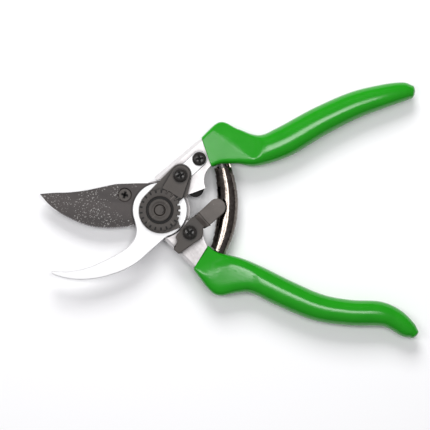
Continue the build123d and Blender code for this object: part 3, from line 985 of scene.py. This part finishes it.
def makeNut():
    size = nutSizes
    low, top, faceTop = dialLow.z / mm, segmentHigh.z / mm, dialHigh.z / mm
    root = size["tip"] - size["notchDepth"]
    inner, outer, deep = size["face"], size["face"] + size["groove"], top - size["grooveDepth"]
    bore, soft, small = size["bore"], size["soft"], size["grooveSoft"]
    floor = faceTop - size["dish"]
    corners = [
        (bore, low, 0), (root - 0.15, low, 0), (root + 0.06, low, 0), (size["tip"], low, soft),
        (size["tip"], top, soft), (root + 0.06, top, 0), (root - 0.15, top, 0), (outer, top, soft),
        (outer, deep, small), (inner, deep, small), (inner, faceTop, size["faceSoft"]),
        (size["dishRadius"] + 0.3, faceTop, 0), (size["dishRadius"], floor, 0), (bore + 0.25, floor, 0),
        (bore, faceTop - 0.35, 0),
    ]
    points = roundedProfile(corners)
    points.append(points[0])
    edges = [(i, i + 1) for i in range(len(points) - 1)]
    profile = bpy.data.meshes.new("toothedNutDial")
    profile.from_pydata([(r * mm, 0, z * mm) for r, z in points], edges, [])
    values = {
        "Teeth": size["teeth"], "Steps": size["steps"], "Root Radius": root * mm,
        "Notch Width": size["notchWidth"] * mm, "Phase": math.radians(size["phase"]), "Material": lockCoat,
    }
    piece = grow("toothedNutDial", nutTree(), values, profile)
    outward(piece)
    shade(piece, 32)

    def inGroove(at, normal):
        r = math.hypot(at.x, at.y)
        if inner + 0.02 < r < outer - 0.1 and deep - 0.1 < at.z < top - 0.05:
            return True
        return r < size["tip"] - 0.12 and r > root and abs(normal.z) < 0.4

    # the groove and the notch sides take the painted recess shade
    mark(piece, 1, inGroove)
    return finishPiece(piece, "hook_side", "dark_steel", ["adjusting_nut"], lockCoat, recessShade)


makeNut()

lockSizes = {
    "round": ((0.7, -0.4), 11.8),
    "end": ((11.1, 18.8), 5.6),
    "catch": ((10.4, -8.85), 0.4),
    "window": [(9.0, -4.4), (10.75, -8.6), (20, -9), (20, 4), (13, 7.2), (9.0, 3.4)],
    "hole": 4.85,
    "segmentEnd": 4.7,
    "segmentFeet": [(12.0, 80, 0.6), (11.9, 55, 0.8), (13.2, 31, 0.6)],
}


def makeLockPlate():
    size = lockSizes
    low, high = lockLow.z / mm, lockHigh.z / mm
    big = ringPoints(*size["round"], 120)
    piece = prism("teardropPlate", hullPoints(big, ringPoints(*size["end"], 64)), low, high)
    catch = prism("catch", hullPoints(big, ringPoints(*size["catch"], 24)), low, high)
    combine(piece, [catch], "UNION")
    under = nutSizes["tip"] - nutSizes["notchDepth"] + 0.6
    window = prism("window", size["window"], low - 1, high + 1)
    combine(window, [prism("keep", ringPoints((0, 0), under, 96), low - 2, high + 2)], "DIFFERENCE")
    hole = prism("hole", ringPoints((0, 0), size["hole"], 64), low - 1, high + 1)
    combine(piece, [window, hole], "DIFFERENCE")
    flatten(piece)
    soften(piece, 0.22, 2, 40)
    return finishPiece(piece, "hook_side", "dark_steel", ["lock_plate"], lockCoat)


def makeLockSegment():
    size = lockSizes
    low, high = segmentLow.z / mm, segmentHigh.z / mm
    feet = [ringPoints(polar(r, angle), small, 16) for r, angle, small in size["segmentFeet"]]
    end = ringPoints(size["end"][0], size["segmentEnd"], 64)
    piece = prism("toothedSegment", hullPoints(end, *feet), low, high)
    dial = prism("dial", ringPoints((0, 0), nutSizes["tip"] + 0.2, 160), low - 1, high + 1)
    combine(piece, [dial], "DIFFERENCE")
    inner, outer = nutSizes["tip"] - nutSizes["notchDepth"] + 0.35, nutSizes["tip"] + 2
    half = nutSizes["notchWidth"] / 2 - 0.15
    fingers = []
    for step in range(3):
        angle = math.radians(nutSizes["phase"] + step * 360 / nutSizes["teeth"])
        along, side = Vector((math.cos(angle), math.sin(angle))), Vector((-math.sin(angle), math.cos(angle)))
        ends = ((inner, half), (inner, -half), (outer, -half), (outer, half))
        corners = [along * r + side * s for r, s in ends]
        fingers.append(prism("finger", [tuple(c) for c in corners], low, high))
    combine(piece, fingers, "UNION")
    flatten(piece)
    soften(piece, 0.18, 2, 40)
    return finishPiece(piece, "hook_side", "dark_steel", ["lock_segment"], lockCoat)


makeLockPlate()
makeLockSegment()


boltSizes = {
    "head": 8.0,
    "headTop": 2.15,
    "foot": 6.9,
    "shoulder": 7.6,
    "neck": 7.75,
    "shank": 4.0,
    "thread": 3.0,
    "end": 2.3,
    "crescentRadius": 1.75,
    "crescentDepth": 0.55,
}


def makeBolt():
    size = boltSizes
    base, top, shankTop = boltLow.z / mm, boltHigh.z / mm, lockLow.z / mm
    headTop, shank, thread = size["headTop"], size["shank"], size["thread"]
    profile = [
        (0, base), (size["foot"], base), (size["shoulder"], base + 0.25), (size["head"], base + 0.8),
        (size["head"], headTop - 0.25), (size["neck"], headTop), (shank, headTop), (shank, shankTop),
        (thread, shankTop + 0.02), (thread, top - 0.5), (2.6, top - 0.12), (size["end"], top), (0, top),
    ]
    piece = turnedPiece("pivotBolt", profile, (0, 0), 96)
    # a crescent slot in the threaded end, by which the bolt is held while the nut is turned
    outer = ringPoints((0.75, 0.1), size["crescentRadius"], 24, -75, 75)
    inner = ringPoints((0.25, 0.1), size["crescentRadius"], 24, 62, -62)
    crescent = prism("crescent", outer + inner, top - size["crescentDepth"], top + 1)
    combine(piece, [crescent], "DIFFERENCE")
    flatten(piece, 0.5)
    shade(piece, 30)

    def inCrescent(at, normal):
        return top - 0.6 < at.z < top - 0.05 and math.hypot(at.x, at.y) < size["end"] - 0.05

    # the crescent slot takes the painted recess shade
    mark(piece, 1, inCrescent)
    return finishPiece(piece, "hook_side", "dark_steel", ["pivot_bolt"], lockCoat, recessShade)


makeBolt()


# each screw's node, body, centre, head radius, head height, turn of its cross, and 1 if countersunk
screwSizes = {
    "tangScrew": ("tang_screw", "hook_side", (20.8, 27.1), 3.7, 1.8, 10, 0),
    "segmentScrew": ("lock_segment_screw", "hook_side", (10.8, 18.4), 3.7, 1.8, 20, 0),
    "latchPivotScrew": ("latch_screw", "blade_side", (15.8, -11.8), 3.7, 1.8, 40, 0),
    "bladeScrew": ("blade_screw", "blade_side", (-18.7, 8.1), 3.25, 1.25, -15, 1),
}
crossSizes = {
    "width": 1.15,
    "depth": 1.05,
    "span": 1.1,  # a share of the head's radius
    # markSpan, markHalf, steep and floor set where the cross takes painted shade
    "markSpan": 0.58,  # how far the dark of the cross goes, in the same share
    "markHalf": 0.66,
    "dome": 0.7,  # a share of the head's height
    "domePower": 3.4,
    "taper": 0.4,
    "shank": 1.98,
    "shankOverlap": 0.3,  # how far the shank runs up into the head
    "steep": 0.93,  # faces of the cross that lean more than this are dark at any depth
    "floor": 0.4,
}


def screwTree():
    # a head domed by formula, less a cross, over a plain shank
    labels = (
        "Head Radius", "Head Height", "Dome", "Cross Width", "Cross Span", "Cross Depth", "Shank Radius",
        "Shank Length", "Turn", "Under Taper",
    )
    kinds = {**dict.fromkeys(labels, "Float"), "Seat": "Vector"}
    tree, link, given, sums = openTree("crossHeadScrew", kinds)

    vector = partial(vectorOf, tree)
    head = tree.nodes.new("GeometryNodeMeshCylinder")
    head.inputs["Vertices"].default_value = 64
    head.inputs["Side Segments"].default_value = 6
    head.inputs["Fill Segments"].default_value = 9
    link(given["Head Radius"], head.inputs["Radius"])
    link(given["Head Height"], head.inputs["Depth"])
    # z falls off towards the rim, most at the top: dome * (1 - sqrt(1 - (r/R)^domePower))
    place = placeParts(tree)
    x2 = sums("MULTIPLY", place["X"], place["X"])
    y2 = sums("MULTIPLY", place["Y"], place["Y"])
    share = sums("DIVIDE", sums("SQRT", sums("ADD", x2, y2)), given["Head Radius"])
    power = sums("POWER", share, crossSizes["domePower"])
    fall = sums("SUBTRACT", 1.0, sums("SQRT", sums("MAXIMUM", sums("SUBTRACT", 1.0, power), 0.0)))
    upper = sums("ADD", sums("DIVIDE", place["Z"], given["Head Height"]), 0.5)
    drop = sums("MULTIPLY", sums("MULTIPLY", fall, given["Dome"]), upper)
    domed = moved(tree, "SetPosition", head.outputs["Mesh"], "Offset", vector(z=sums("MULTIPLY", drop, -1.0)))
    half = vector(z=sums("MULTIPLY", given["Head Height"], 0.5))
    lifted = moved(tree, "Transform", domed, "Translation", half)
    # countersunk heads draw in towards the shank
    again = placeParts(tree)
    depth = sums("SUBTRACT", 1.0, sums("DIVIDE", again["Z"], given["Head Height"]))
    lean = sums("MULTIPLY", sums("MULTIPLY", depth, given["Under Taper"]), crossSizes["taper"])
    narrow = sums("SUBTRACT", 1.0, lean)
    drawn = vector(sums("MULTIPLY", again["X"], narrow), sums("MULTIPLY", again["Y"], narrow), again["Z"])
    tapered = moved(tree, "SetPosition", lifted, "Position", drawn)
    shank = tree.nodes.new("GeometryNodeMeshCylinder")
    shank.inputs["Vertices"].default_value = 40
    link(given["Shank Radius"], shank.inputs["Radius"])
    link(given["Shank Length"], shank.inputs["Depth"])
    overlap = sums("ADD", sums("MULTIPLY", given["Shank Length"], -0.5), crossSizes["shankOverlap"] * mm)
    hung = moved(tree, "Transform", shank.outputs["Mesh"], "Translation", vector(z=overlap))
    whole = tree.nodes.new("GeometryNodeMeshBoolean")
    whole.operation = "UNION"
    whole.solver = "EXACT"
    link(tapered, whole.inputs["Mesh 2"])
    link(hung, whole.inputs["Mesh 2"])
    # one bar of the cross, deeper towards the centre, and its copy a quarter turn on
    arm = tree.nodes.new("GeometryNodeMeshCube")
    tall = sums("MULTIPLY", given["Cross Depth"], 2.0)
    link(vector(given["Cross Span"], given["Cross Width"], tall), arm.inputs["Size"])
    arm.inputs["Vertices X"].default_value = 5
    arm.inputs["Vertices Z"].default_value = 2
    bar = placeParts(tree)
    reach = sums("DIVIDE", sums("ABSOLUTE", bar["X"]), given["Cross Span"])
    below = sums("LESS_THAN", bar["Z"], 0.0)
    rise = sums("MULTIPLY", sums("MULTIPLY", reach, given["Cross Depth"]), sums("MULTIPLY", below, 1.5))
    sloped = moved(tree, "SetPosition", arm.outputs["Mesh"], "Offset", vector(z=rise))
    line = tree.nodes.new("GeometryNodeMeshLine")
    line.inputs["Count"].default_value = 2
    line.inputs["Offset"].default_value = (0, 0, 0)
    number = tree.nodes.new("GeometryNodeInputIndex")
    quarter = sums("ADD", sums("MULTIPLY", number.outputs[0], math.pi / 2), given["Turn"])
    copies = tree.nodes.new("GeometryNodeInstanceOnPoints")
    link(line.outputs["Mesh"], copies.inputs["Points"])
    link(sloped, copies.inputs["Instance"])
    link(vector(z=quarter), copies.inputs["Rotation"])
    top = vector(z=given["Head Height"])
    raised = moved(tree, "Transform", copies.outputs["Instances"], "Translation", top)
    loose = tree.nodes.new("GeometryNodeRealizeInstances")
    link(raised, loose.inputs["Geometry"])
    cut = tree.nodes.new("GeometryNodeMeshBoolean")
    cut.operation = "DIFFERENCE"
    cut.solver = "EXACT"
    cut.inputs["Self Intersection"].default_value = True  # the two bars cross
    link(whole.outputs["Mesh"], cut.inputs["Mesh 1"])
    link(loose.outputs["Geometry"], cut.inputs["Mesh 2"])
    return closeTree(tree, given, moved(tree, "Transform", cut.outputs["Mesh"], "Translation", given["Seat"]))


def makeScrews():
    tree = screwTree()
    size = crossSizes
    for name, (node, body, centre, radius, height, turn, sunk) in screwSizes.items():
        low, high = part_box(node)
        top = high.z
        seat = top - height * mm
        coat = lockCoat if sunk else oxide
        values = {
            "Head Radius": radius * mm, "Head Height": height * mm,
            "Dome": 0.0 if sunk else height * size["dome"] * mm, "Cross Width": size["width"] * mm,
            "Cross Span": radius * size["span"] * mm, "Cross Depth": size["depth"] * mm,
            "Shank Radius": size["shank"] * mm, "Shank Length": seat - low.z, "Turn": math.radians(turn),
            "Under Taper": float(sunk), "Seat": (centre[0] * mm, centre[1] * mm, seat), "Material": coat,
        }
        piece = grow(name, tree, values)
        flatten(piece, 0.4)
        soften(piece, 0.06, 1, 50)
        slot = "dark_steel" if sunk else "black_screw"
        arm, half = radius * size["markSpan"], size["markHalf"]
        axis = Vector((math.cos(math.radians(turn)), math.sin(math.radians(turn))))

        def inCross(at, normal):
            away = Vector((at.x - centre[0], at.y - centre[1]))
            along = abs(away.dot(axis))
            aside = abs(away.dot(Vector((-axis.y, axis.x))))
            within = min(along, aside) < half and max(along, aside) < arm
            deep = normal.z < size["steep"] or at.z < top / mm - size["floor"]
            return within and deep and at.z > seat / mm

        # the cross takes the painted recess shade
        mark(piece, 1, inCross)
        finishPiece(piece, body, slot, [node], coat, recessShade)


makeScrews()


latchSizes = {
    "height": 3.15,
    "thickness": 1.5,
    "padThickness": 2.0,
    "lugLow": 14.25,
    "soft": 0.45,
    "hole": 2.55,
    "plate": [
        (11.4, -9.9), (9.1, -12.9), (8.3, -14.3), (9.6, -16.3), (7.2, -20.7), (10.0, -23.1), (22.0, -14.7),
        (22.8, -12.4), (22.7, -9.6), (25.8, -8.0), (20.1, -1.9), (16.1, -4.4), (14.0, -7.0),
    ],
    "lug": [(7.2, -20.7), (10.0, -23.1), (11.6, -21.9), (8.3, -18.7)],
    "stepLow": [(18.4, -3.4), (24.2, -9.4), (26.4, -7.9), (20.3, -1.5)],
    "stepHigh": [(20.0, -2.0), (25.8, -8.4), (26.4, -7.9), (20.5, -1.3)],
    "padEnd": ((30.1, 1.5), 4.6),
    "padSide": [(20.4, -1.3), (26.2, -8.0)],
    "pivot": (15.8, -11.8),
}


def makeLatch():
    size = latchSizes
    low = latchHigh.z / mm - size["height"]
    plateTop, padTop = low + size["thickness"], latchHigh.z / mm
    piece = prism("thumbLatch", size["plate"], low, plateTop)
    lug = prism("lug", size["lug"], size["lugLow"], low + 0.3)
    step = layered("step", [(size["stepLow"], plateTop - 0.4), (size["stepLow"], plateTop - 0.1),
                            (size["stepHigh"], padTop - 0.05)])
    combine(piece, [lug, step], "UNION")
    end = ringPoints(*size["padEnd"], 64)
    outline = hullPoints(size["padSide"], end)
    pad = prism("pad", outline, padTop - size["padThickness"], padTop)
    combine(piece, [pad], "UNION")
    pivot = prism("pivot", ringPoints(size["pivot"], size["hole"], 48), low - 1, plateTop + 1)
    combine(piece, [pivot], "DIFFERENCE")
    flatten(piece)
    soften(piece, size["soft"], 3, 40)
    for corner in piece.data.vertices:  # the rounding stays under the pad's top
        corner.co.z = min(corner.co.z, padTop * mm)
    mark(piece, 1, lambda at, normal: at.z > plateTop + 0.2 and normal.z > 0.7)
    return finishPiece(piece, "latch", "dark_steel", ["latch_lever"], lockCoat, padCoat)


makeLatch()


springSizes = {
    "lowEnd": (30.5, -22.1),
    "bow": (35.8, 2.8),
    "highEnd": (32.5, 24.5),
    "height": 8.0,
    "lift": -0.6,
    "turns": 11.0,
    "strip": 6.2,
    "thickness": 0.4,
    "endRadius": 3.9,
    "midRadius": 5.2,
    "steps": 1100,
}


def circleThrough(a, b, c):
    # the centre and radius of the circle through three points
    ax, ay = a
    bx, by = b
    cx, cy = c
    d = 2 * (ax * (by - cy) + bx * (cy - ay) + cx * (ay - by))
    aa, bb, cc = ax * ax + ay * ay, bx * bx + by * by, cx * cx + cy * cy
    ux = (aa * (by - cy) + bb * (cy - ay) + cc * (ay - by)) / d
    uy = (aa * (cx - bx) + bb * (ax - cx) + cc * (bx - ax)) / d
    return (ux, uy), math.hypot(ax - ux, ay - uy)


def springTree():
    # a grid of strip: one way round and along the barrel, the other across its width
    labels = ("Arc Radius", "Start Angle", "Arc Length", "Strip Width", "End Radius", "Mid Radius", "Turns")
    kinds = {**dict.fromkeys(labels, "Float"), "Steps": "Int", "Centre": "Vector"}
    tree, link, given, sums = openTree("voluteSpring", kinds)
    grid = tree.nodes.new("GeometryNodeMeshGrid")
    grid.inputs["Size X"].default_value = 1.0
    grid.inputs["Size Y"].default_value = 1.0
    grid.inputs["Vertices Y"].default_value = 5
    link(given["Steps"], grid.inputs["Vertices X"])
    place = placeParts(tree)
    share = sums("ADD", place["X"], 0.5)
    usable = sums("SUBTRACT", given["Arc Length"], given["Strip Width"])
    middle = sums("ADD", sums("MULTIPLY", share, usable), sums("MULTIPLY", given["Strip Width"], 0.5))
    along = sums("ADD", middle, sums("MULTIPLY", place["Y"], given["Strip Width"]))
    arc = sums("ADD", given["Start Angle"], sums("DIVIDE", along, given["Arc Radius"]))
    swell = sums("SINE", sums("MULTIPLY", share, math.pi))
    grown = sums("MULTIPLY", swell, sums("SUBTRACT", given["Mid Radius"], given["End Radius"]))
    radius = sums("ADD", given["End Radius"], grown)
    turn = sums("MULTIPLY", share, sums("MULTIPLY", given["Turns"], 2 * math.pi))
    outward = sums("ADD", given["Arc Radius"], sums("MULTIPLY", radius, sums("COSINE", turn)))
    x = sums("MULTIPLY", outward, sums("COSINE", arc))
    y = sums("MULTIPLY", outward, sums("SINE", arc))
    z = sums("MULTIPLY", radius, sums("SINE", turn))
    shift = tree.nodes.new("ShaderNodeVectorMath")
    link(vectorOf(tree, x, y, z), shift.inputs[0])
    link(given["Centre"], shift.inputs[1])
    bend = moved(tree, "SetPosition", grid.outputs["Mesh"], "Position", shift.outputs["Vector"])
    return closeTree(tree, given, bend)


def makeSpring():
    size = springSizes
    centre, radius = circleThrough(size["lowEnd"], size["bow"], size["highEnd"])
    start = math.atan2(size["lowEnd"][1] - centre[1], size["lowEnd"][0] - centre[0])
    end = math.atan2(size["highEnd"][1] - centre[1], size["highEnd"][0] - centre[0])
    start += size["lift"] / radius
    end -= size["lift"] / radius
    values = {
        "Arc Radius": radius * mm, "Start Angle": start, "Arc Length": (end - start) * radius * mm,
        "Strip Width": size["strip"] * mm, "End Radius": size["endRadius"] * mm,
        "Mid Radius": size["midRadius"] * mm, "Turns": size["turns"], "Steps": size["steps"],
        "Material": nickel, "Centre": (centre[0] * mm, centre[1] * mm, size["height"] * mm),
    }
    piece = grow("woundSpring", springTree(), values)
    wall = piece.modifiers.new("wall", "SOLIDIFY")
    wall.thickness = size["thickness"] * mm
    wall.offset = -1
    bake(piece)
    shade(piece, 50)
    piece.data.materials.clear()
    piece.data.materials.append(nickel)
    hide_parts("return_spring")
    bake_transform(piece)
    print("made", piece.name, len(piece.data.polygons), "faces")


makeSpring()


def dressNode(node, material, width=0.0):
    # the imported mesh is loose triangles: they are welded, and the sharp edges rounded
    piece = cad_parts[node]
    piece.data.materials.clear()
    piece.data.materials.append(material)
    if width:
        weld = piece.modifiers.new("weld", "WELD")
        weld.merge_threshold = 2e-6
        bevel = piece.modifiers.new("edges", "BEVEL")
        bevel.width = width * mm
        bevel.segments = 2
        bevel.limit_method = "ANGLE"
        bevel.angle_limit = math.radians(30)
        normals = piece.modifiers.new("normals", "WEIGHTED_NORMAL")
        normals.keep_sharp = True


dressNode("blade_handle", aluminium, 0.7)
dressNode("hook_handle", aluminium, 0.7)
dressNode("bumper", rubber, 0.25)
dressNode("pivot_bush", bushBronze)
dressNode("thrust_washer", bushBronze)
dressNode("nut_spring_washer", nickel)
dressNode("latch_washer", nickel)


stageSizes = {
    "floor": 4.0, "viewWidth": 0.2279, "centre": (0.0291, -0.00254), "focusHeight": 0.0085, "lens": 220.0,
    "sensor": 36.0,
}
# each lamp's place, target, size in metres and watts, and whether glossy surfaces show it
lampSizes = {
    "keyBox": ((-0.02, 0.66, 0.62), (0.03, 0, 0), (0.45, 0.4), 6.2, False),
    "leftStrip": ((-0.26, 0.06, 0.8), (0.03, 0, 0), (0.1, 0.4), 1.5, True),
    "overStrip": ((0.13, 0.035, 0.8), (0.13, 0.035, 0), (0.22, 0.18), 1.5, True),
}
tentSizes = {"sides": 0.16, "top": 0.36, "tint": (0.985, 0.965, 1.0, 1)}


def makeStage():
    mesh = bpy.data.meshes.new("floor")
    half = stageSizes["floor"] / 2
    corners = [(-half, -half, 0), (half, -half, 0), (half, half, 0), (-half, half, 0)]
    mesh.from_pydata(corners, [], [(0, 1, 2, 3)])
    floor = addObject("floor", mesh)
    paper = Shader("paper", (0.93, 0.93, 0.94), 0.0, 0.9)
    paper.main.inputs["Specular IOR Level"].default_value = 0.1
    mesh.materials.append(paper.material)


def makeLight(name, place, target, size, power, seenInGloss):
    data = bpy.data.lights.new(name, "AREA")
    data.shape = "RECTANGLE"
    data.size, data.size_y = size
    data.energy = power
    lamp = bpy.data.objects.new(name, data)
    scene.collection.objects.link(lamp)
    lamp.location = place
    lamp.rotation_euler = (Vector(target) - Vector(place)).to_track_quat("-Z", "Y").to_euler()
    lamp.visible_glossy = seenInGloss


def makeCamera():
    data = bpy.data.cameras.new("camera")
    data.lens = stageSizes["lens"]
    data.sensor_width = stageSizes["sensor"]
    camera = bpy.data.objects.new("camera", data)
    scene.collection.objects.link(camera)
    x, y = stageSizes["centre"]
    height = stageSizes["viewWidth"] * stageSizes["lens"] / stageSizes["sensor"]
    camera.location = (x, y, height + stageSizes["focusHeight"])
    scene.camera = camera


makeStage()
makeCamera()
for lampName, lampValues in lampSizes.items():
    makeLight(lampName, *lampValues)


def makeWorld():
    # a pale tent, brighter overhead than at its sides
    world = bpy.data.worlds.new("studio")
    world.use_nodes = True
    tree = world.node_tree
    place = tree.nodes.new("ShaderNodeTexCoord")
    split = tree.nodes.new("ShaderNodeSeparateXYZ")
    spread = tree.nodes.new("ShaderNodeMapRange")
    spread.inputs["To Min"].default_value = tentSizes["sides"]
    spread.inputs["To Max"].default_value = tentSizes["top"]
    tree.links.new(place.outputs["Generated"], split.inputs["Vector"])
    tree.links.new(split.outputs["Z"], spread.inputs["Value"])
    tree.links.new(spread.outputs["Result"], tree.nodes["Background"].inputs["Strength"])
    tree.nodes["Background"].inputs["Color"].default_value = tentSizes["tint"]
    scene.world = world


makeWorld()
scene.view_settings.view_transform = "Standard"
print("stage ready")
